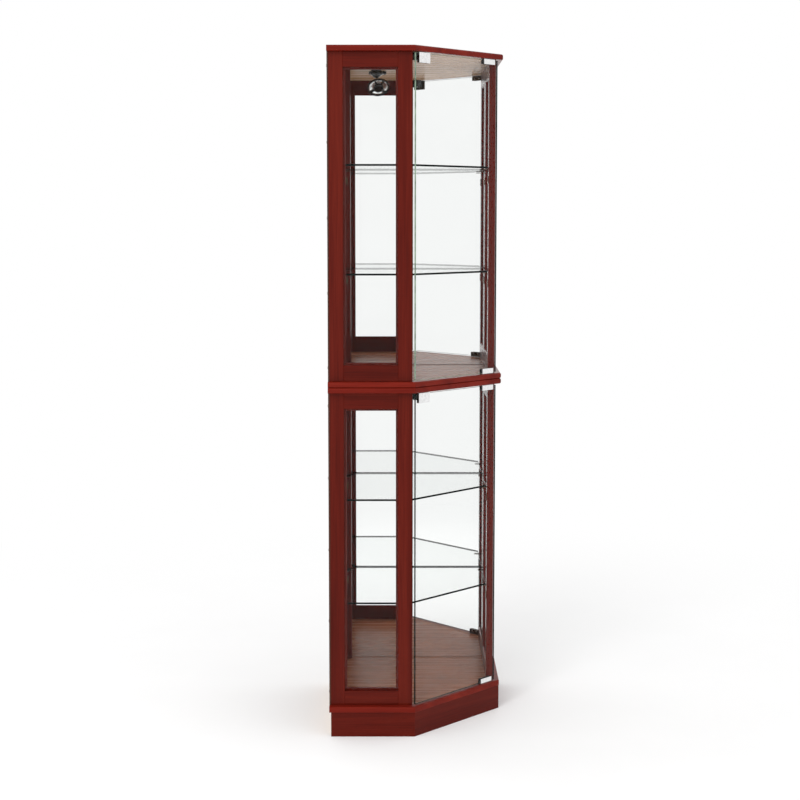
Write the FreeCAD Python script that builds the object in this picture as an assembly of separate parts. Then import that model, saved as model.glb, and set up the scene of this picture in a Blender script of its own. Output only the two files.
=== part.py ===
import FreeCAD
import Part

import math
import os

from FreeCAD import Rotation, Vector

# Corner curio cabinet in two stacked sections: glazed side frames, frameless glass doors, mirrored back,
# glass shelves and a spotlight.
#
# Units are millimetres. +Z is up, the doors face -Y and the two back walls meet in a right angle at the
# rear, +Y. The origin is the centre of the outline on the floor.
#
# Most of the cabinet follows its two back walls, so most shapes are laid out in wall coordinates (s, t):
# s is the distance along the left back wall and t the distance along the right back wall, both from the
# room's corner. The right half is the left half with s and t swapped.

ROOT2 = math.sqrt(2)

# Driving dimensions of the plan
WALL = 445.0            # corner to the outer face of the side frame, along each wall
SIDE = 219.0            # corner wall to the front edge of a side frame
OVERHANG = 18.0         # boards past the side frames and the front line
PLINTH_INSET = 1.0      # skirting behind the edge of the board above it
PLINTH_REAR_GAP = 5.0   # plinth to the walls
PLINTH_RAIL = 15.0
PLINTH_BLOCK = 28.0     # leg of a glue block
PLINTH_BLOCK_FOOT = 10.0
BOARD_ROUNDING = 5.0    # on the edges that show
BOARD_SOFTENING = 3.0
BOTTOM_SOFTENING = 1.0

# Driving dimensions in height
BOARD = 15.0
PLINTH = 65.0
LOWER_FLOOR = PLINTH + BOARD
LOWER_CEILING = 912.0
UPPER_FLOOR = LOWER_CEILING + 2 * BOARD
UPPER_CEILING = 1785.0
SECTIONS = {"lower": (LOWER_FLOOR, LOWER_CEILING), "upper": (UPPER_FLOOR, UPPER_CEILING)}

# Side frames, with the pane and its beads in a rabbet on the inside
FRAME = 18.0
STILE = 37.0
RAILS = {"lower": (38.0, 42.0), "upper": (42.0, 39.0)}    # heights of the bottom and top rails
LIP = 8.0
RABBET = 8.0
ARRIS = 0.6              # small bevel round the outer face of each frame member
PANE = 4.0
PANE_PLAY = 1.0
BEAD_REACH = 6.0
BEAD_CHAMFER = 2.5

# Back walls: hardboard behind a mirror, both against the corner post
PANEL = 4.0
MIRROR = 3.0
MIRROR_FOOT_GAP = 1.0
PANEL_FACE = PANEL
MIRROR_FACE = PANEL_FACE + MIRROR
POST_LEG = 42.0
POST_EDGE = 14.0
POST_LINE = 2 * PANEL_FACE + POST_LEG + POST_EDGE    # s + t on the post's slanted face
POST_SCREWS = 31.0      # corner to the column of screws in the post

# Shelves and their supports
SHELF = 5.0
GLASS_ARRIS = 0.4
SHELF_PLAY = 3.0
SHELF_MIRROR_GAP = 3.0
SHELF_POST_GAP = 7.0
SHELF_SETBACK = 20.0
SHELF_UNDERSIDES = {"lower": {"bottom": 346.8, "top": 623.5}, "upper": {"bottom": 1215.5, "top": 1497.0}}
HOLE_STEP = 64.0
SUPPORT_HOLE_R = 2.5
SUPPORT_HOLE_DEPTH = 10.0
SUPPORT_PIN_R = 2.45
SUPPORT_PIN = 9.0
SUPPORT_REACH = 14.0
SUPPORT_WIDTH = 16.0
SUPPORT_HEIGHT = 20.0
SUPPORT_THICKNESS = 1.5

# Doors: frameless glass on pivot clips at the right, a strike clip at the top left
DOOR_GLASS = 5.0
DOOR_GAP = 4.0
DOOR_SPAN = (-157.0, 156.0)
DOOR_END_GAP = 3.0
PIVOT_X = 137.0
CLIP_SPAN = (100.0, 143.0)
CLIP_HEIGHT = 13.5
CLIP_WALL = 1.5
CLIP_BACK = 3.0
CLIP_PAD = 0.5
CLIP_PAD_PROUD = 3.5              # beyond the clip's inner end
CLIP_PAD_HEIGHT = 11.0
SET_SCREWS_X = (110.0, 127.0)
SET_SCREW_R = 2.0
SET_SCREW_DROP = 7.0
SET_SCREW_PROUD = 0.4
PIVOT_R = 2.5
PIVOT_LENGTH = 8.0
PIVOT_PLAY = 0.05
BUSHING_R = 4.0
BUSHING_DEPTH = 10.0
BUSHING_FLANGE = (6.0, 0.7)       # radius, thickness
BUSHING_FLOOR = 1.0               # left under the bore
STRIKE_SPAN = (-146.0, -106.0)
STRIKE_HEIGHT = 26.0

# Push latch behind the strike
LATCH_SPAN = (-143.0, -109.0)
LATCH_DEPTH = 17.0
LATCH_HEIGHT = 20.0
LATCH_SETBACK = 2.2
LATCH_SCREW_INSET = 4.0
LATCH_SCREW = 32.0
LATCH_ROUNDING = 1.5
PLUNGER_R = 4.5
PLUNGER_PROUD = 4.45
PLUNGER_TRAVEL = 3.0
PLUNGER_LENGTH = 14.0
PLUNGER_PLAY = 0.05
PLUNGER_BEVEL = 0.8

# Lamp under the upper ceiling
LAMP_FROM_CORNER = 172.5
CANOPY_R = 26.0
CANOPY = 8.0
CANOPY_ROUNDING = 1.2
CANOPY_SCREW = 20.0
CANOPY_SCREWS_X = (-21.0, 21.0)
SOCKET_DROP = 25.0                # ceiling to the middle of the ball joint
SOCKET_R = 16.5
SOCKET_CAVITY_R = 14.3
SOCKET_MOUTH = 6.0                # below the middle
SOCKET_COLLAR_R = 9.0
SOCKET_COLLAR_GAP = 0.3           # under the canopy
BALL_R = 14.0
NECK_R = 4.0
SPINDLE_R = 4.0
SPINDLE_PLAY = 0.05
SPINDLE = 5.0                     # length inside the canopy
HEAD_BACK = 30.0                  # from the ball's middle, along the aim
HEAD_FACE = 59.0
HEAD_R = 30.5
HEAD_WALL = 2.2
GUARD = 4.0                       # depth of the glare guard inside the head's mouth
GUARD_CAP_R = 14.0
GUARD_CAP_PROUD = 5.0             # past the head's mouth
GUARD_RING_R = 26.5
GUARD_SPOKES = {42: 8.0, 138: 8.0, 242: 4.0, 298: 4.0}    # angle below level, seen from behind: width
GUARD_SPOKE_THICKNESS = 2.0
LAMP_TILT = 48.0                  # below level
LAMP_TURN = 9.0                   # from the left side frame towards the door

# Fasteners
SCREW_R = 1.75
SCREW_PLAY = 0.05
SCREW_LENGTH = 14.0
SCREW_HEAD = (3.6, 1.5)           # radius, height
SCREW_RECESS = (0.9, 4.2, 0.9)    # width, length and depth of each slot of the cross
SCREWS_PER_COLUMN = 5
SCREW_END = 35.0
DOWEL_R = 4.0
DOWEL_DEPTH = 11.0
DOWELS = ((385.0, 60.0), (60.0, 385.0), (375.0, 189.0), (189.0, 375.0))

# How far a cutter reaches past the face it opens, and how much deeper a blind hole is than what it takes
PAST = 1.0
SPARE = 0.5

FRONT_LINE = WALL + SIDE
CORNER_Y = (FRONT_LINE / ROOT2 + OVERHANG) / 2
FRONT_Y = CORNER_Y - FRONT_LINE / ROOT2
GLASS_BACK_Y = FRONT_Y - DOOR_GAP
GLASS_FRONT_Y = GLASS_BACK_Y - DOOR_GLASS
PIVOT = (PIVOT_X, GLASS_BACK_Y - DOOR_GLASS / 2)
UP = Vector(0, 0, 1)
S_DIRECTION = Vector(-1, -1, 0) / ROOT2
T_DIRECTION = Vector(1, -1, 0) / ROOT2


def at(s, t, z=0.0, side="left"):
    """The point at wall coordinates (s, t), mirrored to the other wall for the right side."""
    if side == "right":
        s, t = t, s
    return Vector((t - s) / ROOT2, CORNER_Y - (s + t) / ROOT2, z)


def prism(points, low, high, side="left"):
    """A straight-sided solid over an outline in wall coordinates."""
    corners = [at(s, t, low, side) for s, t in points]
    wire = Part.makePolygon(corners + corners[:1])
    return Part.Face(wire).extrude(UP * (high - low))


def block(s_span, t_span, z_span, side="left"):
    (s0, s1), (t0, t1) = s_span, t_span
    return prism([(s0, t0), (s1, t0), (s1, t1), (s0, t1)], *z_span, side)


def box(x_span, y_span, z_span):
    """A box along the row's own axes."""
    sizes = [high - low for low, high in (x_span, y_span, z_span)]
    return Part.makeBox(*sizes, Vector(x_span[0], y_span[0], z_span[0]))


def rod(radius, length, base, direction=UP):
    return Part.makeCylinder(radius, length, base, direction)


def along(direction, side):
    """A wall direction, mirrored for the right side."""
    return Vector(-direction.x, direction.y, 0) if side == "right" else direction


def join(shapes):
    first, *others = shapes
    return first.fuse(others).removeSplitter() if others else first


def save(name, *solids):
    """Writes one node as a STEP file, with each of its pieces as a solid of its own."""
    pieces = [piece for solid in solids for piece in solid.Solids]
    shape = pieces[0] if len(pieces) == 1 else Part.makeCompound(pieces)
    shape.exportStep(os.path.join("parts", name + ".step"))


def pin_levels(section):
    """Heights of the rows of support holes: three for each shelf."""
    undersides = SHELF_UNDERSIDES[section].values()
    return [z + step * HOLE_STEP - SUPPORT_HEIGHT / 2 for z in undersides for step in (-1, 0, 1)]


def stile_middles():
    return PANEL_FACE + STILE / 2, SIDE - STILE / 2


def screw_levels(section):
    low, high = SECTIONS[section]
    step = (high - low - 2 * SCREW_END) / (SCREWS_PER_COLUMN - 1)
    return [low + SCREW_END + i * step for i in range(SCREWS_PER_COLUMN)]


def screw_places(section):
    """Where each back panel screw enters: its point on the wall plane, its direction and its side."""
    columns = (WALL - FRAME / 2, POST_SCREWS)
    return [
        (at(s, 0, z, side), along(T_DIRECTION, side))
        for side in ("left", "right")
        for s in columns
        for z in screw_levels(section)
    ]


def screw_holes(section):
    return [rod(SCREW_R + SCREW_PLAY, SCREW_LENGTH + SPARE, p, d) for p, d in screw_places(section)]


def outline(overhang):
    """The five corners of a board in wall coordinates."""
    reach = WALL + overhang
    front = SIDE + overhang * (ROOT2 - 1)
    return [(0, 0), (reach, 0), (reach, front), (front, reach), (0, reach)]


def round_exposed(board, level, radius):
    """Rounds the edges at one height, apart from the two along the walls."""
    edges = []
    for edge in board.Edges:
        middle = edge.CenterOfMass
        depth = CORNER_Y - middle.y
        off_walls = min(depth + middle.x, depth - middle.x) / ROOT2 > 1.0
        if off_walls and all(abs(v.Z - level) < 1e-6 for v in edge.Vertexes):
            edges.append(edge)
    return board.makeFillet(radius, edges)


def board(bottom, top_radius, bottom_radius):
    solid = prism(outline(OVERHANG), bottom, bottom + BOARD)
    if top_radius:
        solid = round_exposed(solid, bottom + BOARD, top_radius)
    if bottom_radius:
        solid = round_exposed(solid, bottom, bottom_radius)
    return solid


def bushing_seat(face, direction):
    """The hole in a board that a pivot bushing is pressed into."""
    return rod(BUSHING_R, BUSHING_DEPTH, Vector(*PIVOT, face), UP * direction)


def bushing(face, direction):
    flange_r, flange = BUSHING_FLANGE
    seat = rod(BUSHING_R, BUSHING_DEPTH, Vector(*PIVOT, face), UP * direction)
    rim = rod(flange_r, flange, Vector(*PIVOT, face), UP * -direction)
    mouth = Vector(*PIVOT, face - direction * flange)
    depth = BUSHING_DEPTH + flange - BUSHING_FLOOR
    bore = rod(PIVOT_R + PIVOT_PLAY, depth, mouth, UP * direction)
    return seat.fuse(rim).cut(bore)


def make_boards():
    seam = LOWER_CEILING + BOARD
    holes = [rod(DOWEL_R, 2 * DOWEL_DEPTH, at(s, t, seam - DOWEL_DEPTH)) for s, t in DOWELS]
    bottom = board(PLINTH, BOARD_SOFTENING, BOTTOM_SOFTENING)
    save("bottom_board", bottom.cut(bushing_seat(LOWER_FLOOR, -1)))
    lower_top = board(LOWER_CEILING, BOARD_ROUNDING, BOARD_ROUNDING)
    cuts = [bushing_seat(LOWER_CEILING, 1), *holes, *latch_holes(LOWER_CEILING)]
    save("lower_top_board", lower_top.cut(cuts))
    upper_bottom = board(seam, BOARD_ROUNDING, BOARD_ROUNDING)
    save("upper_bottom_board", upper_bottom.cut([bushing_seat(UPPER_FLOOR, -1), *holes]))
    top = board(UPPER_CEILING, BOARD_ROUNDING, BOARD_SOFTENING)
    cuts = [bushing_seat(UPPER_CEILING, 1), *latch_holes(UPPER_CEILING), *lamp_holes()]
    save("top_board", top.cut(cuts))
    save("section_joining_dowels", *holes)
    faces = [(LOWER_FLOOR, -1), (LOWER_CEILING, 1), (UPPER_FLOOR, -1), (UPPER_CEILING, 1)]
    save("hinge_bushings", *[bushing(face, direction) for face, direction in faces])


def make_plinth():
    """Mitred skirting boards in front, plain rails along the walls and glue blocks in the corners."""
    gap = PLINTH_REAR_GAP
    outer = outline(OVERHANG - PLINTH_INSET)[2]
    inner = outline(OVERHANG - PLINTH_INSET - BOARD)[2]
    span = (0, PLINTH)
    skirt = [(outer[0], gap), outer, inner, (inner[0], gap)]
    for side in ("left", "right"):
        save(f"plinth_{side}_board", prism(skirt, *span, side))
    save("plinth_front_board", prism([outer, outer[::-1], inner[::-1], inner], *span))
    rear = gap + PLINTH_RAIL
    rails = [block((rear, inner[0]), (gap, rear), span), block((gap, rear), (gap, inner[0]), span)]
    save("plinth_rear_rails", *rails)
    leg = PLINTH_BLOCK
    height = (PLINTH_BLOCK_FOOT, PLINTH)
    blocks = [prism([(rear, rear), (rear + leg, rear), (rear, rear + leg)], *height)]
    for side in ("left", "right"):
        reach, front = inner
        slant = leg / ROOT2
        blocks.append(prism([(reach, rear), (reach - leg, rear), (reach, rear + leg)], *height, side))
        wedge = [(reach, front), (reach, front - leg), (reach - slant, front + slant)]
        blocks.append(prism(wedge, *height, side))
    save("plinth_corner_blocks", *blocks)


def soften_outer_face(member, side):
    """Bevels the edges that lie on a side frame's outer face."""
    mirrored = -1 if side == "right" else 1
    edges = [
        edge
        for edge in member.Edges
        if all(abs((CORNER_Y - v.Y - mirrored * v.X) / ROOT2 - WALL) < 1e-6 for v in edge.Vertexes)
    ]
    return member.makeChamfer(ARRIS, edges)


def frame_members(section, side):
    """Two stiles with two rails between them, rabbeted on the inside for the pane."""
    low, high = SECTIONS[section]
    bottom_rail, top_rail = RAILS[section]
    inner, outer = WALL - FRAME, WALL
    rear, front = PANEL_FACE, SIDE
    rabbet_s = (inner - PAST, outer - LIP)
    opening_t = (rear + STILE, front - STILE)
    rabbet = block(
        rabbet_s,
        (opening_t[0] - RABBET, opening_t[1] + RABBET),
        (low + bottom_rail - RABBET, high - top_rail + RABBET),
        side,
    )
    holes = [
        rod(SUPPORT_HOLE_R, SUPPORT_HOLE_DEPTH, at(inner, t, z, side), along(S_DIRECTION, side))
        for t in stile_middles()
        for z in pin_levels(section)
    ]
    members = [
        block((inner, outer), (rear, opening_t[0]), (low, high), side),
        block((inner, outer), (opening_t[1], front), (low, high), side),
        block((inner, outer), opening_t, (low, low + bottom_rail), side),
        block((inner, outer), opening_t, (high - top_rail, high), side),
    ]
    cutters = [rabbet, *holes, *screw_holes(section)]
    return [soften_outer_face(member, side).cut(cutters) for member in members]


def pane(section, side):
    low, high = SECTIONS[section]
    bottom_rail, top_rail = RAILS[section]
    reach = RABBET - PANE_PLAY
    return block(
        (WALL - LIP - PANE, WALL - LIP),
        (PANEL_FACE + STILE - reach, SIDE - STILE + reach),
        (low + bottom_rail - reach, high - top_rail + reach),
        side,
    )


def beads(section, side):
    """Four strips that hold the pane, with a chamfer along the edge that faces the cabinet's inside."""
    low, high = SECTIONS[section]
    bottom_rail, top_rail = RAILS[section]
    s0, s1 = WALL - FRAME, WALL - LIP - PANE
    t0, t1 = PANEL_FACE + STILE - RABBET, SIDE - STILE + RABBET
    z0, z1 = low + bottom_rail - RABBET, high - top_rail + RABBET
    width = RABBET + BEAD_REACH
    upright = [(s1, 0), (s1, width), (s0 + BEAD_CHAMFER, width), (s0, width - BEAD_CHAMFER), (s0, 0)]
    strips = [
        prism([(s, t0 + w) for s, w in upright], z0, z1, side),
        prism([(s, t1 - w) for s, w in upright], z0, z1, side),
    ]
    for edge, sign in ((z0, 1), (z1, -1)):
        corners = [at(s, t0 + width, edge + sign * w, side) for s, w in upright]
        face = Part.Face(Part.makePolygon(corners + corners[:1]))
        strips.append(face.extrude(along(T_DIRECTION, side) * (t1 - t0 - 2 * width)))
    return strips


def make_sides():
    for section in SECTIONS:
        strips = []
        for side in ("left", "right"):
            save(f"{section}_{side}_side_frame", *frame_members(section, side))
            save(f"{section}_{side}_side_glass", pane(section, side))
            strips += beads(section, side)
        save(f"{section}_glass_beads", *strips)


def make_back(section):
    low, high = SECTIONS[section]
    span = (low, high)
    foot, end = PANEL_FACE, PANEL_FACE + POST_LEG
    edge = foot + POST_EDGE
    post = prism([(foot, foot), (end, foot), (end, edge), (edge, end), (foot, end)], *span)
    support_holes = [
        rod(SUPPORT_HOLE_R, SUPPORT_HOLE_DEPTH, Vector(0, CORNER_Y - POST_LINE / ROOT2, z), Vector(0, 1, 0))
        for z in pin_levels(section)
    ]
    screws = screw_holes(section)
    save(f"{section}_corner_post", post.cut([*support_holes, *screws]))
    left = block((PANEL_FACE, WALL), (0, PANEL_FACE), span)
    right = block((0, PANEL_FACE), (0, WALL), span)
    save(f"{section}_left_back_panel", left.cut(screws))
    save(f"{section}_right_back_panel", right.cut(screws))
    upright = (low + MIRROR_FOOT_GAP, high)
    for side in ("left", "right"):
        mirror = block((end, WALL - FRAME), (PANEL_FACE, MIRROR_FACE), upright, side)
        save(f"{section}_{side}_mirror", mirror)


def pan_head_screw(base, direction, length=SCREW_LENGTH):
    """A cross-head screw: its head stands proud of the surface at base, its shank runs along direction."""
    head_r, head = SCREW_HEAD
    top = rod(head_r, head, Vector(0, 0, -head))
    crown = [edge for edge in top.Edges if abs(edge.CenterOfMass.z + head) < 1e-6]
    top = top.makeFillet(head * 0.6, crown)
    wide, long, deep = SCREW_RECESS
    depths = (-head - PAST, -head + deep)
    slots = [
        box((-wide / 2, wide / 2), (-long / 2, long / 2), depths),
        box((-long / 2, long / 2), (-wide / 2, wide / 2), depths),
    ]
    screw = top.fuse(rod(SCREW_R, length, Vector(0, 0, 0))).cut(slots)
    screw.Placement = FreeCAD.Placement(base, Rotation(UP, direction))
    return screw


def shelf(underside):
    """A five-sided glass shelf with its rear corner cut off in front of the corner post."""
    side_end = WALL - FRAME - SHELF_PLAY
    wall_end = MIRROR_FACE + SHELF_MIRROR_GAP
    front = FRONT_LINE - SHELF_SETBACK * ROOT2
    rear = POST_LINE + SHELF_POST_GAP * ROOT2
    points = [
        (side_end, wall_end),
        (side_end, front - side_end),
        (front - side_end, side_end),
        (wall_end, side_end),
        (wall_end, rear - wall_end),
        (rear - wall_end, wall_end),
    ]
    plate = prism(points, underside, underside + SHELF)
    return plate.makeChamfer(GLASS_ARRIS, [edge for edge in plate.Edges if edge.Length > SHELF + 1e-6])


def support(anchor, direction, underside):
    """A shelf support: an L-shaped bracket with a pin for the hole behind it."""
    across = direction.cross(UP)
    frame = Rotation(direction, across, UP, "XYZ")

    def plate(reach, height):
        sheet = Part.makeBox(reach, SUPPORT_WIDTH, height)
        corner = Vector(anchor.x, anchor.y, underside - height) - across * (SUPPORT_WIDTH / 2)
        sheet.Placement = FreeCAD.Placement(corner, frame)
        return sheet

    level = Vector(anchor.x, anchor.y, underside - SUPPORT_HEIGHT / 2)
    pin = rod(SUPPORT_PIN_R, SUPPORT_PIN, level, direction * -1)
    return join([plate(SUPPORT_THICKNESS, SUPPORT_HEIGHT), plate(SUPPORT_REACH, SUPPORT_THICKNESS), pin])


def supports(section):
    pieces = []
    for underside in SHELF_UNDERSIDES[section].values():
        for side in ("left", "right"):
            inward = along(S_DIRECTION, side) * -1
            pieces += [support(at(WALL - FRAME, t, 0, side), inward, underside) for t in stile_middles()]
        pieces.append(support(Vector(0, CORNER_Y - POST_LINE / ROOT2, 0), Vector(0, -1, 0), underside))
    return pieces


def clip(x_span, edge, sign, height, plates, inset=0.0):
    """A channel over an edge of the door, open towards sign: plates is its front and back thickness."""
    front, back = plates
    y_in = (GLASS_FRONT_Y - inset, GLASS_BACK_Y + inset)
    y_out = (y_in[0] - front, y_in[1] + back)
    inside = edge - sign * inset
    outside = inside - sign * front
    tip = outside + sign * height
    channel = box(x_span, y_out, tuple(sorted((outside, tip))))
    slot = box((x_span[0] - PAST, x_span[1] + PAST), y_in, tuple(sorted((inside, tip + sign * PAST))))
    return channel.cut(slot)


def door_ends(section):
    """The door's bottom and top edges, each with the direction towards the door's middle."""
    low, high = SECTIONS[section]
    return [(low + DOOR_END_GAP, 1), (high - DOOR_END_GAP, -1)]


def set_screws(section):
    """Headless screws through the back of each hinge clip, which press its pad on the glass."""
    y = GLASS_BACK_Y + CLIP_PAD
    length = CLIP_BACK + SET_SCREW_PROUD
    return [
        rod(SET_SCREW_R, length, Vector(x, y, edge + sign * SET_SCREW_DROP), Vector(0, 1, 0))
        for edge, sign in door_ends(section)
        for x in SET_SCREWS_X
    ]


def make_door(section):
    (low, _), (high, _) = door_ends(section)
    glass = box(DOOR_SPAN, (GLASS_FRONT_Y, GLASS_BACK_Y), (low, high))
    bevelled = [edge for edge in glass.Edges if edge.Length > 2 * DOOR_GLASS]
    save(f"{section}_door_glass", glass.makeChamfer(GLASS_ARRIS, bevelled))
    screws = set_screws(section)
    clips, pads = [], []
    pad_span = (CLIP_SPAN[0] - CLIP_PAD_PROUD, CLIP_SPAN[1])
    for edge, sign in door_ends(section):
        channel = clip(CLIP_SPAN, edge, sign, CLIP_HEIGHT, (CLIP_WALL, CLIP_BACK), CLIP_PAD)
        outside = edge - sign * (CLIP_PAD + CLIP_WALL)
        pin = rod(PIVOT_R, PIVOT_LENGTH, Vector(*PIVOT, outside), UP * -sign)
        clips.append(channel.cut(screws).fuse(pin))
        pads.append(clip(pad_span, edge, sign, CLIP_PAD_HEIGHT, (CLIP_PAD, CLIP_PAD)))
    save(f"{section}_door_hinge_clips", *clips)
    save(f"{section}_door_hinge_screws", *screws)
    save(f"{section}_door_clip_pads", *pads)
    strike = clip(STRIKE_SPAN, high, -1, STRIKE_HEIGHT, (CLIP_WALL, CLIP_WALL))
    save(f"{section}_door_strike_clip", strike)


def latch_screw_places(ceiling):
    y = FRONT_Y + LATCH_SETBACK + LATCH_DEPTH / 2
    left, right = LATCH_SPAN
    columns = (left + LATCH_SCREW_INSET, right - LATCH_SCREW_INSET)
    return [Vector(x, y, ceiling - LATCH_HEIGHT) for x in columns]


def latch_holes(ceiling):
    return [rod(SCREW_R + SCREW_PLAY, LATCH_SCREW + SPARE, p) for p in latch_screw_places(ceiling)]


def make_latch(section):
    ceiling = SECTIONS[section][1]
    front = FRONT_Y + LATCH_SETBACK
    case = box(LATCH_SPAN, (front, front + LATCH_DEPTH), (ceiling - LATCH_HEIGHT, ceiling))
    uprights = [edge for edge in case.Edges if abs(edge.tangentAt(0).z) > 0.5]
    case = case.makeFillet(LATCH_ROUNDING, uprights)
    rear = Vector(0, 1, 0)
    tip = Vector(sum(LATCH_SPAN) / 2, front - PLUNGER_PROUD, ceiling - LATCH_HEIGHT / 2)
    bore = rod(PLUNGER_R + PLUNGER_PLAY, PLUNGER_LENGTH + PLUNGER_TRAVEL + SPARE, tip, rear)
    save(f"{section}_latch_body", case.cut([bore, *latch_holes(ceiling)]))
    plunger = rod(PLUNGER_R, PLUNGER_LENGTH, tip, rear)
    rims = [edge for edge in plunger.Edges if edge.Closed]
    save(f"{section}_latch_plunger", plunger.makeChamfer(PLUNGER_BEVEL, rims))


def revolve(points):
    """A solid of revolution about Z from (radius, height) points."""
    corners = [Vector(r, 0, z) for r, z in points]
    return Part.Face(Part.makePolygon(corners + corners[:1])).revolve(Vector(0, 0, 0), UP, 360)


def lamp_centre():
    """The middle of the ball joint, about which the head tilts."""
    return Vector(0, CORNER_Y - LAMP_FROM_CORNER, UPPER_CEILING - SOCKET_DROP)


def lamp_screw_places():
    middle = Vector(0, CORNER_Y - LAMP_FROM_CORNER, UPPER_CEILING - CANOPY)
    return [middle + Vector(x, 0, 0) for x in CANOPY_SCREWS_X]


def lamp_holes():
    return [rod(SCREW_R + SCREW_PLAY, CANOPY_SCREW + SPARE, place) for place in lamp_screw_places()]


def make_lamp_mounting():
    """The canopy on the ceiling and the socket that turns under it."""
    centre = lamp_centre()
    underside = Vector(centre.x, centre.y, UPPER_CEILING - CANOPY)
    canopy = rod(CANOPY_R, CANOPY, underside)
    rim = [edge for edge in canopy.Edges if abs(edge.CenterOfMass.z - underside.z) < 1e-6]
    canopy = canopy.makeFillet(CANOPY_ROUNDING, rim)
    spindle_hole = rod(SPINDLE_R + SPINDLE_PLAY, SPINDLE + SPARE, underside)
    save("lamp_canopy", canopy.cut([spindle_hole, *lamp_holes()]))
    middle = Vector(0, 0, 0)
    top = SOCKET_DROP - CANOPY
    collar = rod(SOCKET_COLLAR_R, top - SOCKET_COLLAR_GAP, middle)
    spindle = rod(SPINDLE_R, top + SPINDLE, middle)
    below = rod(2 * SOCKET_R, 2 * SOCKET_R, Vector(0, 0, -SOCKET_MOUTH), UP * -1)
    outside = Part.makeSphere(SOCKET_R).fuse([collar, spindle])
    socket = outside.cut([Part.makeSphere(SOCKET_CAVITY_R), below])
    socket.Placement = FreeCAD.Placement(centre, Rotation())
    save("lamp_socket", socket)


def lamp_head_shell():
    """A shallow flared cup; the outline runs up its outside and back down its inside."""
    back, face, rim = HEAD_BACK, HEAD_FACE, HEAD_R
    inner = rim - HEAD_WALL
    rear = [(0, back), (9, back), (13, back + 4), (17, back + 10)]
    cone = [(23.5, face - 11.5), (28.5, face - 7.6), (rim, face - 5.2), (rim, face)]
    hollow = [(inner, face), (inner, face - 5.3), (27, face - 6.5), (22, face - 10.0)]
    floor = [(15, back + 11.2), (11.2, back + 5.8), (8.5, back + 3), (0, back + 3)]
    return revolve([*rear, *cone, *hollow, *floor])


def lamp_reflector():
    """A shallow bright dish round the bulb, between the shell and the glare guard."""
    front = HEAD_FACE - GUARD
    inner = HEAD_R - HEAD_WALL
    rear_face = [(12.4, front - 5.4), (18, front - 4.6), (23, front - 2.8), (25.4, front - 1.2)]
    bright_face = [(24.8, front), (22.6, front - 1.6), (17.8, front - 3.4), (12.4, front - 4.2)]
    return revolve([*rear_face, (inner, front - 1.2), (inner, front), *bright_face])


def lamp_bulb():
    base, tip = HEAD_BACK + 3, HEAD_FACE - GUARD - 1.5
    front = [(11.5, tip - 4.5), (10, tip - 2), (6, tip - 0.5), (0, tip)]
    return revolve([(0, base), (7.5, base), (11, base + 8), (11.5, base + 11), *front])


def lamp_glare_guard():
    """A cap with raised rings in front of the bulb, held in a ring by four spokes."""
    rear, face = HEAD_FACE - GUARD, HEAD_FACE + GUARD_CAP_PROUD
    dip = face - 1.0
    edge = [(0, rear), (GUARD_CAP_R, rear), (GUARD_CAP_R, face - 2.4), (GUARD_CAP_R - 2.4, face)]
    rings = [(9.6, face), (9.6, dip), (7.6, dip), (7.6, face), (4.8, face), (4.8, dip), (3, dip), (3, face)]
    cap = revolve([*edge, *rings, (0, face)])
    inner = HEAD_R - HEAD_WALL
    bore = GUARD_RING_R
    mouth = [(inner, HEAD_FACE), (bore + 0.8, HEAD_FACE), (bore, HEAD_FACE - 0.8)]
    ring = revolve([(bore, rear), (inner, rear), *mouth])
    spokes = []
    for angle, width in GUARD_SPOKES.items():
        low = rear + 0.5
        reach = (GUARD_CAP_R - PAST, bore + PAST)
        bar = box(reach, (-width / 2, width / 2), (low, low + GUARD_SPOKE_THICKNESS))
        bar.rotate(Vector(0, 0, 0), UP, angle)
        spokes.append(bar)
    return join([cap, ring, *spokes])


def lamp_head_parts():
    """The parts that tilt, along +Z from the ball's centre before they are aimed."""
    overlap = 4.0
    neck = rod(NECK_R, HEAD_BACK - BALL_R + overlap, Vector(0, 0, BALL_R - overlap))
    return {
        "lamp_ball_and_neck": Part.makeSphere(BALL_R).fuse(neck),
        "lamp_head_shell": lamp_head_shell(),
        "lamp_reflector": lamp_reflector(),
        "lamp_bulb": lamp_bulb(),
        "lamp_glare_guard": lamp_glare_guard(),
    }


def make_lamp_head():
    """Aims the head past the left side frame, LAMP_TILT below level."""
    tilt = math.radians(LAMP_TILT)
    level_aim = Rotation(UP, LAMP_TURN).multVec(S_DIRECTION)
    aim = level_aim * math.cos(tilt) - UP * math.sin(tilt)
    across = level_aim.cross(UP)
    turn = Rotation(across, aim.cross(across), aim, "ZXY")
    for name, shape in lamp_head_parts().items():
        shape.Placement = FreeCAD.Placement(lamp_centre(), turn)
        save(name, shape)


def main():
    os.makedirs("parts", exist_ok=True)
    make_plinth()
    make_boards()
    make_sides()
    panel_screws = []
    for section in SECTIONS:
        make_back(section)
        make_door(section)
        make_latch(section)
        panel_screws += [pan_head_screw(place, direction) for place, direction in screw_places(section)]
        save(f"{section}_shelf_supports", *supports(section))
        for level, underside in SHELF_UNDERSIDES[section].items():
            save(f"{section}_{level}_shelf", shelf(underside))
    save("back_panel_screws", *panel_screws)
    fixings = [pan_head_screw(place, UP, CANOPY_SCREW) for place in lamp_screw_places()]
    for ceiling in (LOWER_CEILING, UPPER_CEILING):
        fixings += [pan_head_screw(place, UP, LATCH_SCREW) for place in latch_screw_places(ceiling)]
    save("latch_and_lamp_screws", *fixings)
    make_lamp_mounting()
    make_lamp_head()


main()
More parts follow.
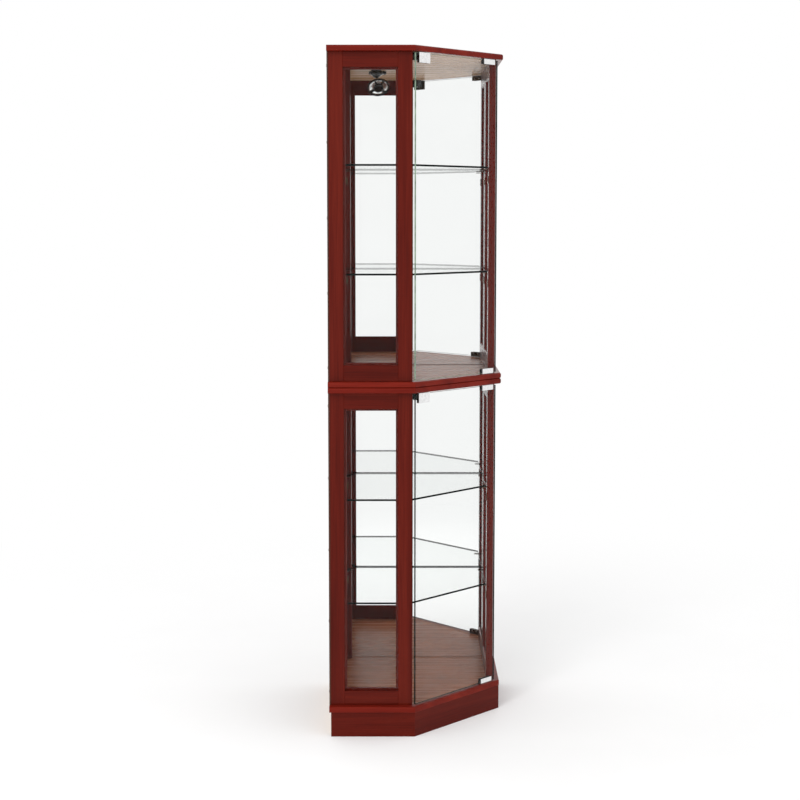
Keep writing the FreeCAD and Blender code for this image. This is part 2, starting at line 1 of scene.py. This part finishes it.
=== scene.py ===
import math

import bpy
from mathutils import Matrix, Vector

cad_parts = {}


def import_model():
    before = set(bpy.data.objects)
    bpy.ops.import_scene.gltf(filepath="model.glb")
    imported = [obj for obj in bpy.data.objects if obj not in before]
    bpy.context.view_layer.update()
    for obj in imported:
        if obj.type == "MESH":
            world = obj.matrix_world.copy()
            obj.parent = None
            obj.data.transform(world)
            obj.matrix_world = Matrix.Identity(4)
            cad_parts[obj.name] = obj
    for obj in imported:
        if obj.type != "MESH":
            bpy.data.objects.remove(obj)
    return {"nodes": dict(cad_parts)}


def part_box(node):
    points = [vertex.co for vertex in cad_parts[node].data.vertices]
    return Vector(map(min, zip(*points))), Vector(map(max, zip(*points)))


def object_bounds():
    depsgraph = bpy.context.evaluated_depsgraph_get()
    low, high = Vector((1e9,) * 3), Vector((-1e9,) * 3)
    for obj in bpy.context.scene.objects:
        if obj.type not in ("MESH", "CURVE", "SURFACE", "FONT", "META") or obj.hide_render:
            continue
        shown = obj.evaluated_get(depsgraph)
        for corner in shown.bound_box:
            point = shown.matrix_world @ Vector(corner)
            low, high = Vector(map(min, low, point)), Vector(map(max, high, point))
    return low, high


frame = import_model()
cad_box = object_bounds()

# The looks of the corner curio cabinet. Metres throughout; the doors face -Y and the rear corner is at +Y.
# Wall coordinates: s runs from the rear corner along the left back wall, t along the right back wall.

NODES = frame["nodes"]
ROOT2 = math.sqrt(2)
S_DIRECTION = Vector((-1, -1, 0)) / ROOT2
T_DIRECTION = Vector((1, -1, 0)) / ROOT2
CORNER = Vector((0, cad_box[1].y, 0))
SECTIONS = ("lower", "upper")
SIDES = ("left", "right")
MM = 0.001
FLAT_FACING = 0.9           # the least share of a direction in the normal of a face that faces it


# Node trees

class Tree:
    """A material's node tree, with short calls for the nodes used here."""

    def __init__(self, name):
        self.material = bpy.data.materials.new(name)
        self.material.use_nodes = True
        self.nodes = self.material.node_tree.nodes
        self.links = self.material.node_tree.links
        self.nodes.clear()
        self.output = self.nodes.new("ShaderNodeOutputMaterial")

    def node(self, kind, inputs=None, **settings):
        made = self.nodes.new(kind)
        for key, value in settings.items():
            setattr(made, key, value)
        for key, value in (inputs or {}).items():
            self.feed(made.inputs[key], value)
        return made

    def feed(self, socket, value):
        if isinstance(value, bpy.types.NodeSocket):
            self.links.new(value, socket)
        else:
            socket.default_value = value

    def math(self, operation, a, b=0.0):
        return self.node("ShaderNodeMath", {0: a, 1: b}, operation=operation).outputs[0]

    def place(self):
        """Object coordinates. At rest they are the same as the world's."""
        return self.node("ShaderNodeTexCoord").outputs["Object"]

    def object_normal(self):
        return self.node("ShaderNodeTexCoord").outputs["Normal"]

    def dot(self, vector, direction):
        made = self.node("ShaderNodeVectorMath", {0: vector, 1: tuple(direction)}, operation="DOT_PRODUCT")
        return made.outputs["Value"]

    def combine(self, x, y, z):
        return self.node("ShaderNodeCombineXYZ", {"X": x, "Y": y, "Z": z}).outputs[0]

    def noise(self, vector, scale, detail=3.0, roughness=0.55, distortion=0.0):
        inputs = {"Vector": vector, "Scale": scale, "Detail": detail}
        inputs.update({"Roughness": roughness, "Distortion": distortion})
        return self.node("ShaderNodeTexNoise", inputs).outputs["Fac"]

    def streaks(self, vector, stretch, **options):
        """Noise whose scale differs along the three axes."""
        scaled = self.node("ShaderNodeVectorMath", {0: vector, 1: stretch}, operation="MULTIPLY").outputs[0]
        return self.noise(scaled, 1.0, **options)

    def ramp(self, factor, stops):
        """A colour from stops of position and colour."""
        made = self.node("ShaderNodeValToRGB", {"Fac": factor})
        elements = made.color_ramp.elements
        while len(elements) < len(stops):
            elements.new(0.5)
        for element, (position, colour) in zip(elements, stops):
            element.position = position
            element.color = rgba(colour)
        return made.outputs["Color"]

    def step(self, factor, low, high):
        """0 below low, 1 above high, and smooth between them."""
        inputs = {"Value": factor, "From Min": low, "From Max": high}
        return self.node("ShaderNodeMapRange", inputs, interpolation_type="SMOOTHSTEP").outputs["Result"]

    def span(self, factor, low, high):
        """A factor from 0 to 1 turned into a number from low to high."""
        inputs = {"Value": factor, "To Min": low, "To Max": high}
        return self.node("ShaderNodeMapRange", inputs).outputs["Result"]

    def blend(self, a, b, share):
        """The number a with a share of b."""
        return self.math("ADD", self.math("MULTIPLY", a, 1.0 - share), self.math("MULTIPLY", b, share))

    def mix(self, factor, a, b):
        """A colour that is a where factor is 0 and b where it is 1."""
        made = self.node("ShaderNodeMix", data_type="RGBA")
        self.feed(made.inputs["Factor"], factor)
        self.feed(made.inputs[6], a)
        self.feed(made.inputs[7], b)
        return made.outputs[2]

    def choose(self, factor, a, b):
        """A vector that is a where factor is 0 and b where it is 1."""
        made = self.node("ShaderNodeMix", data_type="VECTOR")
        self.feed(made.inputs["Factor"], factor)
        self.feed(made.inputs[4], a)
        self.feed(made.inputs[5], b)
        return made.outputs[1]

    def bump(self, height, distance, strength):
        inputs = {"Height": height, "Distance": distance, "Strength": strength}
        return self.node("ShaderNodeBump", inputs).outputs["Normal"]

    def principled(self, **inputs):
        named = {key.replace("_", " "): value for key, value in inputs.items()}
        return self.node("ShaderNodeBsdfPrincipled", named).outputs["BSDF"]

    def finish(self, shader):
        self.links.new(shader, self.output.inputs["Surface"])
        return self.material


def grey(value):
    return (value, value, value)


def rgba(colour):
    return (*colour, 1.0)


# Wood

PANE_COVER = 7.0 * MM       # how far a pane reaches behind its frame
INSIDE_MARGIN = 9.0 * MM    # from a side frame's outer face to where the brown stain stops
FRAME_GRAIN_SHIFT = (3.7, 0.9, 0.4)     # gives the side frames other grain than the posts and boards

# Wood colours from dark to light
CHERRY = ((0.062, 0.0042, 0.0018), (0.098, 0.0072, 0.0032), (0.140, 0.0130, 0.0058))
BOARD_CHERRY = ((0.110, 0.0060, 0.0028), (0.165, 0.0110, 0.0050), (0.240, 0.0200, 0.0090))
FLOOR_BROWN = ((0.20, 0.064, 0.030), (0.33, 0.122, 0.058))
CEILING_BROWN = ((0.54, 0.32, 0.185), (0.65, 0.41, 0.25))
PLAIN = ((0.36, 0.22, 0.11), (0.50, 0.33, 0.18), (0.60, 0.43, 0.26))


def reach(node, direction):
    """Where a node starts and ends along a wall, measured from the corner."""
    lengths = [(vertex.co - CORNER).dot(direction) for vertex in NODES[node].data.vertices]
    return min(lengths), max(lengths)


def across_of(along):
    """The two directions across the grain."""
    side = along.orthogonal().normalized()
    return side, along.cross(side).normalized()


def grain_place(tree, along):
    """Coordinates with X along the grain, so that the same texture can run along any member."""
    place = tree.place()
    side, depth = across_of(Vector(along))
    return tree.combine(tree.dot(place, along), tree.dot(place, side), tree.dot(place, depth))


# Low indices of refraction, so that the white surroundings don't wash out the red
WOOD_IOR = 1.13
STAIN_IOR = 1.16
LACQUER_IOR = 1.2
LACQUER_COAT = 0.4
LACQUER_ROUGHNESS = 0.06
LACQUERED_WOOD_ROUGHNESS = (0.30, 0.42)
BARE_WOOD_ROUGHNESS = (0.65, 0.8)

# Texture scales along the grain and across it
CHERRY_BANDS = (0.9, 26.0, 26.0)
CHERRY_FIBRES = (9.0, 420.0, 420.0)
CHERRY_PORES = (55.0, 1500.0, 1500.0)
STAIN_STREAKS = (1.6, 75.0, 75.0)
STAIN_FIBRES = (14.0, 520.0, 520.0)

# How the textures share in the colour and the relief
CHERRY_FIBRE_SHARE = 0.38
STAIN_FIBRE_SHARE = 0.35
PORE_COVER = 0.45           # how strongly a pore's colour covers the wood's
PORE_SHADE = 0.35           # a pore's colour as a part of the darkest wood colour
FIBRE_RELIEF = 0.25
PORE_RELIEF = 0.5


def wood_shader(tree, vector, colours=CHERRY, lacquer=True):
    """Straight cherry grain: broad bands, fine fibres and short open pores, under a thin gloss lacquer."""
    dark, mid, light = colours
    bands = tree.streaks(vector, CHERRY_BANDS, detail=3.0, roughness=0.5, distortion=0.6)
    fibres = tree.streaks(vector, CHERRY_FIBRES, detail=2.0, roughness=0.6)
    pores = tree.streaks(vector, CHERRY_PORES, detail=1.0, roughness=0.5)
    clouds = tree.noise(vector, scale=7.0, detail=2.0, roughness=0.5)
    figure = tree.blend(bands, fibres, CHERRY_FIBRE_SHARE)
    colour = tree.ramp(figure, [(0.34, dark), (0.50, mid), (0.68, light)])
    colour = tree.mix(tree.span(clouds, 0.0, 0.35), colour, rgba(dark))
    open_pore = tree.step(pores, 0.66, 0.74)
    pore_colour = rgba([channel * PORE_SHADE for channel in dark])
    colour = tree.mix(tree.math("MULTIPLY", open_pore, PORE_COVER), colour, pore_colour)
    ridges = tree.math("MULTIPLY", fibres, FIBRE_RELIEF)
    height = tree.math("SUBTRACT", ridges, tree.math("MULTIPLY", open_pore, PORE_RELIEF))
    roughness = LACQUERED_WOOD_ROUGHNESS if lacquer else BARE_WOOD_ROUGHNESS
    return tree.principled(
        Base_Color=colour,
        Roughness=tree.span(clouds, *roughness),
        IOR=WOOD_IOR,
        Normal=tree.bump(height, distance=0.12 * MM, strength=0.6),
        Coat_Weight=LACQUER_COAT if lacquer else 0.0,
        Coat_Roughness=LACQUER_ROUGHNESS,
        Coat_IOR=LACQUER_IOR,
    )


def board_wood(name, inward, browns):
    """A board stained brown on its inward face, between the side frames and the doors.

    inward is 1 for a face that looks up and -1 for one that looks down.
    """
    tree = Tree(name)
    vector = grain_place(tree, T_DIRECTION)
    lacquered = wood_shader(tree, vector, BOARD_CHERRY)
    streaks = tree.streaks(vector, STAIN_STREAKS, detail=4.0, roughness=0.65, distortion=0.4)
    fine = tree.streaks(vector, STAIN_FIBRES, detail=2.0, roughness=0.6)
    figure = tree.blend(streaks, fine, STAIN_FIBRE_SHARE)
    brown = tree.principled(
        Base_Color=tree.ramp(figure, [(0.34, browns[0]), (0.66, browns[1])]),
        Roughness=tree.span(streaks, 0.20, 0.34),
        IOR=STAIN_IOR,
        Normal=tree.bump(fine, distance=0.1 * MM, strength=0.5),
    )
    inside = tree.math("GREATER_THAN", tree.dot(tree.object_normal(), (0, 0, inward)), FLAT_FACING)
    edges = [((0, 1, 0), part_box("lower_door_glass")[1].y)]
    for side, direction in (("left", S_DIRECTION), ("right", T_DIRECTION)):
        outer = reach(f"lower_{side}_side_frame", direction)[1] - INSIDE_MARGIN
        edges.append((-direction, -outer - CORNER.dot(direction)))
    for direction, limit in edges:
        within = tree.math("GREATER_THAN", tree.dot(tree.place(), direction), limit)
        inside = tree.math("MULTIPLY", inside, within)
    both = tree.node("ShaderNodeMixShader", {0: inside, 1: lacquered, 2: brown})
    return tree.finish(both.outputs[0])


def wood(name, along, **options):
    """Wood whose grain runs one way throughout."""
    tree = Tree(name)
    return tree.finish(wood_shader(tree, grain_place(tree, along), **options))


def frame_wood(name, side):
    """Upright grain in the stiles and level grain in the rails."""
    tree = Tree(name)
    level = T_DIRECTION if side == "left" else S_DIRECTION
    pane_start, pane_end = reach(f"upper_{side}_side_glass", level)
    start, end = pane_start + PANE_COVER, pane_end - PANE_COVER
    offset = tree.math("SUBTRACT", tree.dot(tree.place(), level), CORNER.dot(level))
    past_start = tree.math("GREATER_THAN", offset, start)
    before_end = tree.math("LESS_THAN", offset, end)
    in_rail = tree.math("MULTIPLY", past_start, before_end)
    vector = tree.choose(in_rail, grain_place(tree, (0, 0, 1)), grain_place(tree, level))
    shifted = tree.node("ShaderNodeVectorMath", {0: vector, 1: FRAME_GRAIN_SHIFT}, operation="ADD")
    return tree.finish(wood_shader(tree, shifted.outputs[0]))


# Other finishes

PANE_TINT = (0.994, 0.998, 0.996)
SHELF_TINT = (0.962, 0.968, 0.965)      # shelves are always seen aslant, through more glass
GLASS_REFLECTANCE = 0.012
GRAZING_REFLECTANCE = 0.65              # less than real glass's, because the whole world around is white
EDGE_ROUGHNESS = 0.12
EDGE_IOR = 1.08                         # low, for the same reason
EDGE_SHADES = (0.6, 1.6)                # how much an edge's colour varies along it
SHELF_EDGE = (0.0008, 0.0025, 0.002)
# Door edge colours: the glass's own green, painted lit on the upper door and in nearly black painted shade
# on the lower door
DOOR_EDGE_LIT_AND_SHADED = {"lower": (0.004, 0.010, 0.008), "upper": (0.17, 0.23, 0.17)}
HINGE_PAINTED_SHADE_DEPTH = 1.0 * MM             # how much of each door, at its hinge side, gets the nearly black painted shade on its edge
BRUSHING = (60.0, 60.0, 2600.0)         # texture scales of the level scratches on metal


def glass_gloss(tree):
    """Schlick's reflectance, held down at grazing angles, and only where a ray enters the glass.

    This glass doesn't bend light, so a ray reflected within a shelf would run on to its dark edge.
    """
    grazing = tree.node("ShaderNodeLayerWeight", {"Blend": 0.5}).outputs["Facing"]
    rise = tree.math("MULTIPLY", tree.math("POWER", grazing, 5.0), GRAZING_REFLECTANCE)
    entering = tree.math("SUBTRACT", 1.0, tree.node("ShaderNodeNewGeometry").outputs["Backfacing"])
    return tree.math("MULTIPLY", tree.math("ADD", rise, GLASS_REFLECTANCE), entering)


def glass(name, thin, edge=SHELF_EDGE, tint=PANE_TINT, painted_shade_past=None):
    """Clear float glass whose cut edges, those not facing along thin, have a colour of their own; for the
    doors that colour also holds painted light and shade.

    Edges past the last argument in X get a nearly black painted shade, the shade at each door's hinge side.
    """
    tree = Tree(name)
    facing = tree.math("ABSOLUTE", tree.dot(tree.object_normal(), thin))
    on_edge = tree.math("LESS_THAN", facing, FLAT_FACING)
    smears = tree.noise(tree.place(), scale=4.0, detail=3.0, roughness=0.6)
    glossy = {"Color": rgba(grey(0.95)), "Roughness": tree.span(smears, 0.002, 0.02)}
    gloss = tree.node("ShaderNodeBsdfGlossy", glossy).outputs[0]
    clear = tree.node("ShaderNodeBsdfTransparent", {"Color": rgba(tint)}).outputs[0]
    pane = tree.node("ShaderNodeMixShader", {0: glass_gloss(tree), 1: clear, 2: gloss}).outputs[0]
    depth = tree.noise(tree.place(), scale=60.0, detail=2.0)
    dark, light = ([channel * share for channel in edge] for share in EDGE_SHADES)
    shade = tree.ramp(depth, [(0.3, dark), (0.7, light)])
    if painted_shade_past is not None:
        # painted shade: edges at the doors' hinge side made nearly black
        past = tree.math("GREATER_THAN", tree.dot(tree.place(), (1, 0, 0)), painted_shade_past)
        shade = tree.mix(past, shade, rgba(SHELF_EDGE))
    rim = tree.principled(Base_Color=shade, Roughness=EDGE_ROUGHNESS, IOR=EDGE_IOR)
    both = tree.node("ShaderNodeMixShader", {0: on_edge, 1: pane, 2: rim})
    return tree.finish(both.outputs[0])


def mirror(name):
    """Silvered glass with a trace of haze."""
    tree = Tree(name)
    haze = tree.noise(tree.place(), scale=6.0, detail=3.0, roughness=0.6)
    colour = tree.ramp(haze, [(0.2, grey(0.925)), (0.8, grey(0.945))])
    roughness = tree.span(haze, 0.0, 0.012)
    return tree.finish(tree.principled(Base_Color=colour, Metallic=1.0, Roughness=roughness))


def metal_shader(tree, dark, light, rough, scale=160.0):
    """Metal with uneven wear and fine level brushing."""
    place = tree.place()
    wear = tree.noise(place, scale, detail=4.0, roughness=0.6)
    lines = tree.streaks(place, BRUSHING, detail=2.0)
    return tree.principled(
        Base_Color=tree.ramp(wear, [(0.3, dark), (0.7, light)]),
        Metallic=1.0,
        Roughness=tree.span(wear, *rough),
        Normal=tree.bump(lines, distance=0.02 * MM, strength=0.5),
    )


def metal(name, dark, light, **options):
    tree = Tree(name)
    return tree.finish(metal_shader(tree, dark, light, **options))


def plated(name, middle):
    """Clips with a polished plate in front of the glass and dark bronze behind it."""
    tree = Tree(name)
    front = metal_shader(tree, grey(0.74), grey(0.88), rough=(0.05, 0.12))
    rear = metal_shader(tree, (0.030, 0.018, 0.012), (0.075, 0.046, 0.030), rough=(0.28, 0.42))
    behind = tree.math("GREATER_THAN", tree.dot(tree.place(), (0, 1, 0)), middle)
    both = tree.node("ShaderNodeMixShader", {0: behind, 1: front, 2: rear})
    return tree.finish(both.outputs[0])


def coating(name, shades, rough, grain, depth, coat=0.0, ior=1.5):
    """Black plastic, rubber or paint: a fine texture with slightly uneven gloss."""
    tree = Tree(name)
    place = tree.place()
    texture = tree.noise(place, grain, detail=3.0, roughness=0.6)
    patches = tree.noise(place, scale=45.0, detail=3.0, roughness=0.5)
    colour = tree.ramp(patches, [(0.3, grey(shades[0])), (0.7, grey(shades[1]))])
    return tree.finish(
        tree.principled(
            Base_Color=colour,
            Roughness=tree.span(patches, *rough),
            IOR=ior,
            Normal=tree.bump(texture, depth, strength=0.6),
            Coat_Weight=coat,
            Coat_Roughness=0.04,
        )
    )


def frosted_bulb(name):
    """A pale frosted bulb with a slightly uneven face."""
    tree = Tree(name)
    facets = tree.noise(tree.place(), scale=300.0, detail=2.0)
    colour = tree.ramp(facets, [(0.3, (0.75, 0.74, 0.70)), (0.7, (0.9, 0.89, 0.86))])
    normal = tree.bump(facets, distance=0.2 * MM, strength=0.5)
    return tree.finish(tree.principled(Base_Color=colour, Roughness=0.25, IOR=1.45, Normal=normal))


HARDBOARD_FIBRES = (420.0, 420.0, 150.0)
HARDBOARD_FLECKS = (900.0, 900.0, 240.0)
HARDBOARD_STREAKS = (16.0, 16.0, 0.8)
HARDBOARD_BROWN = ((0.026, 0.0085, 0.0050), (0.098, 0.034, 0.020))
PATCH_BROWN = (0.040, 0.012, 0.007)
FLECK_BROWN = (0.014, 0.005, 0.003)


def hardboard(name):
    """Stained hardboard: pressed fibres, darker flecks and faint streaks from the sander."""
    tree = Tree(name)
    place = tree.place()
    fibre = tree.streaks(place, HARDBOARD_FIBRES, detail=4.0, roughness=0.7)
    flecks = tree.streaks(place, HARDBOARD_FLECKS, detail=2.0, roughness=0.5)
    streaks = tree.streaks(place, HARDBOARD_STREAKS, detail=3.0, roughness=0.6)
    patch = tree.noise(place, scale=5.0)
    figure = tree.blend(fibre, streaks, 0.45)
    colour = tree.ramp(figure, [(0.36, HARDBOARD_BROWN[0]), (0.64, HARDBOARD_BROWN[1])])
    colour = tree.mix(tree.span(patch, 0.0, 0.4), colour, rgba(PATCH_BROWN))
    fleck = tree.step(flecks, 0.62, 0.72)
    colour = tree.mix(tree.math("MULTIPLY", fleck, 0.6), colour, rgba(FLECK_BROWN))
    return tree.finish(
        tree.principled(
            Base_Color=colour,
            Roughness=tree.span(patch, 0.5, 0.62),
            IOR=1.3,
            Normal=tree.bump(fibre, distance=0.3 * MM, strength=0.7),
        )
    )


def dress(node, material):
    """Gives a CAD node one material in every slot."""
    slots = NODES[node].material_slots
    if not slots:
        NODES[node].data.materials.append(material)
    for slot in slots:
        slot.material = material


def dress_wood():
    upright = wood("cherry_upright", (0, 0, 1))
    level = wood("cherry_level", (1, 0, 0))
    along = {"left": wood("cherry_left", T_DIRECTION), "right": wood("cherry_right", S_DIRECTION)}
    framed = {side: frame_wood(f"cherry_frame_{side}", side) for side in SIDES}
    plain = wood("plain_wood", (1, 0, 0), colours=PLAIN, lacquer=False)
    floor_board = board_wood("cherry_floor_board", 1, FLOOR_BROWN)
    ceiling_board = board_wood("cherry_ceiling_board", -1, CEILING_BROWN)
    for node in ("bottom_board", "upper_bottom_board"):
        dress(node, floor_board)
    for node in ("lower_top_board", "top_board"):
        dress(node, ceiling_board)
    dress("plinth_front_board", level)
    for side in SIDES:
        dress(f"plinth_{side}_board", along[side])
        for section in SECTIONS:
            dress(f"{section}_{side}_side_frame", framed[side])
    for section in SECTIONS:
        dress(f"{section}_corner_post", upright)
        dress(f"{section}_glass_beads", upright)
    for node in ("plinth_corner_blocks", "section_joining_dowels", "plinth_rear_rails"):
        dress(node, plain)


def dress_glass_and_backs():
    shelf = glass("shelf_glass", (0, 0, 1), tint=SHELF_TINT)
    pane = {"left": glass("left_pane", S_DIRECTION), "right": glass("right_pane", T_DIRECTION)}
    silvered = mirror("silvered_glass")
    back = hardboard("back_hardboard")
    # where the doors' hinge-side painted shade begins, in X
    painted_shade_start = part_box("lower_door_glass")[1].x - HINGE_PAINTED_SHADE_DEPTH
    for section in SECTIONS:
        door = glass(f"{section}_door_glass", (0, 1, 0), DOOR_EDGE_LIT_AND_SHADED[section], painted_shade_past=painted_shade_start)
        dress(f"{section}_door_glass", door)
        for level in ("top", "bottom"):
            dress(f"{section}_{level}_shelf", shelf)
        for side in SIDES:
            dress(f"{section}_{side}_side_glass", pane[side])
            dress(f"{section}_{side}_mirror", silvered)
            dress(f"{section}_{side}_back_panel", back)


LAMP_BLACK = ("lamp_socket", "lamp_ball_and_neck", "lamp_head_shell", "lamp_glare_guard")


def dress_hardware():
    steel = metal("zinc_steel", (0.30, 0.29, 0.27), (0.48, 0.47, 0.45), rough=(0.28, 0.45))
    bronze = metal("antique_bronze", (0.055, 0.030, 0.018), (0.14, 0.085, 0.05), rough=(0.3, 0.45))
    bright = metal("reflector_aluminium", grey(0.88), grey(0.96), rough=(0.18, 0.28), scale=500.0)
    black = coating("black_plastic", (0.006, 0.012), rough=(0.3, 0.42), grain=1800.0, depth=0.04 * MM)
    pad = coating("soft_pad", (0.010, 0.018), rough=(0.5, 0.62), grain=1200.0, depth=0.03 * MM)
    gloss = coating(
        "gloss_black", (0.003, 0.006), rough=(0.10, 0.16), grain=700.0, depth=0.02 * MM, coat=0.3, ior=1.3
    )
    clips = plated("plated_clips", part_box("lower_door_glass")[0].y)
    for section in SECTIONS:
        dress(f"{section}_door_hinge_clips", clips)
        dress(f"{section}_door_strike_clip", clips)
        dress(f"{section}_door_hinge_screws", steel)
        dress(f"{section}_door_clip_pads", pad)
        dress(f"{section}_latch_body", black)
        dress(f"{section}_latch_plunger", black)
        dress(f"{section}_shelf_supports", bronze)
    for node in ("back_panel_screws", "latch_and_lamp_screws"):
        dress(node, steel)
    for node in ("lamp_canopy", *LAMP_BLACK):
        dress(node, gloss)
    dress("hinge_bushings", black)
    dress("lamp_reflector", bright)
    dress("lamp_bulb", frosted_bulb("frosted_bulb"))
    for node in (*LAMP_BLACK, "lamp_reflector", "lamp_bulb"):
        NODES[node].visible_glossy = False    # the picture shows none of the lamp in the mirrors


# Stage

FLOOR_HALF = 60.0
FLOOR_FADE = (0.7, 2.6)     # distances from the cabinet between which the floor turns white
WORLD_STRENGTH = 1.0

# The camera looks square to the left side frame and down a little on the whole cabinet
EYE = (-2.9438, -2.9642, 1.374)
PITCH = math.radians(5.67)
LENS_MM = 68.2
SENSOR_MM = 36.0
SHIFT = -0.0444             # as a part of the sensor's width
FAR = 200.0                 # past the floor's far corners

# Name, place, target, size and watts of each area light
LIGHTS = (
    ("key", (-3.2, -1.2, 3.4), (0, 0, 0.9), (1.6, 1.6), 40),
    ("side", (-3.6, -1.2, 1.2), (0, 0, 1.2), (0.7, 1.0), 22),
)


def floor():
    """A pale floor that turns into the white backdrop with distance."""
    tree = Tree("pale_floor")
    speckle = tree.noise(tree.place(), scale=2.0)
    colour = tree.ramp(speckle, [(0.3, grey(0.93)), (0.7, grey(0.95))])
    near = tree.principled(Base_Color=colour, Roughness=0.8, Specular_IOR_Level=0.1)
    far = tree.node("ShaderNodeEmission", {"Color": rgba(grey(1.0))}).outputs[0]
    distance = tree.node("ShaderNodeVectorMath", {0: tree.place()}, operation="LENGTH").outputs["Value"]
    both = tree.node("ShaderNodeMixShader", {0: tree.step(distance, *FLOOR_FADE), 1: near, 2: far})
    material = tree.finish(both.outputs[0])
    mesh = bpy.data.meshes.new("floor")
    corners = [(x * FLOOR_HALF, y * FLOOR_HALF, 0) for x, y in ((-1, -1), (1, -1), (1, 1), (-1, 1))]
    mesh.from_pydata(corners, [], [(0, 1, 2, 3)])
    mesh.materials.append(material)
    ground = bpy.data.objects.new("floor", mesh)
    bpy.context.scene.collection.objects.link(ground)


def world():
    """Even white light from all around."""
    sky = bpy.data.worlds.new("studio")
    sky.use_nodes = True
    background = sky.node_tree.nodes["Background"]
    background.inputs["Color"].default_value = rgba(grey(1.0))
    background.inputs["Strength"].default_value = WORLD_STRENGTH
    bpy.context.scene.world = sky


def area_light(name, place, target, size, power):
    data = bpy.data.lights.new(name, "AREA")
    data.shape = "RECTANGLE"
    data.size, data.size_y = size
    data.energy = power
    lamp = bpy.data.objects.new(name, data)
    lamp.location = place
    lamp.rotation_euler = (Vector(target) - Vector(place)).to_track_quat("-Z", "Y").to_euler()
    bpy.context.scene.collection.objects.link(lamp)


def camera():
    data = bpy.data.cameras.new("camera")
    data.sensor_width = SENSOR_MM
    data.lens = LENS_MM
    data.shift_y = SHIFT
    data.clip_end = FAR
    eye = bpy.data.objects.new("camera", data)
    eye.location = EYE
    look = Vector((math.cos(PITCH) / ROOT2, math.cos(PITCH) / ROOT2, -math.sin(PITCH)))
    eye.rotation_euler = look.to_track_quat("-Z", "Y").to_euler()
    bpy.context.scene.collection.objects.link(eye)
    bpy.context.scene.camera = eye


def stage():
    floor()
    world()
    camera()
    for light in LIGHTS:
        area_light(*light)
    bpy.context.scene.view_settings.view_transform = "Standard"


stage()
dress_wood()
dress_glass_and_backs()
dress_hardware()
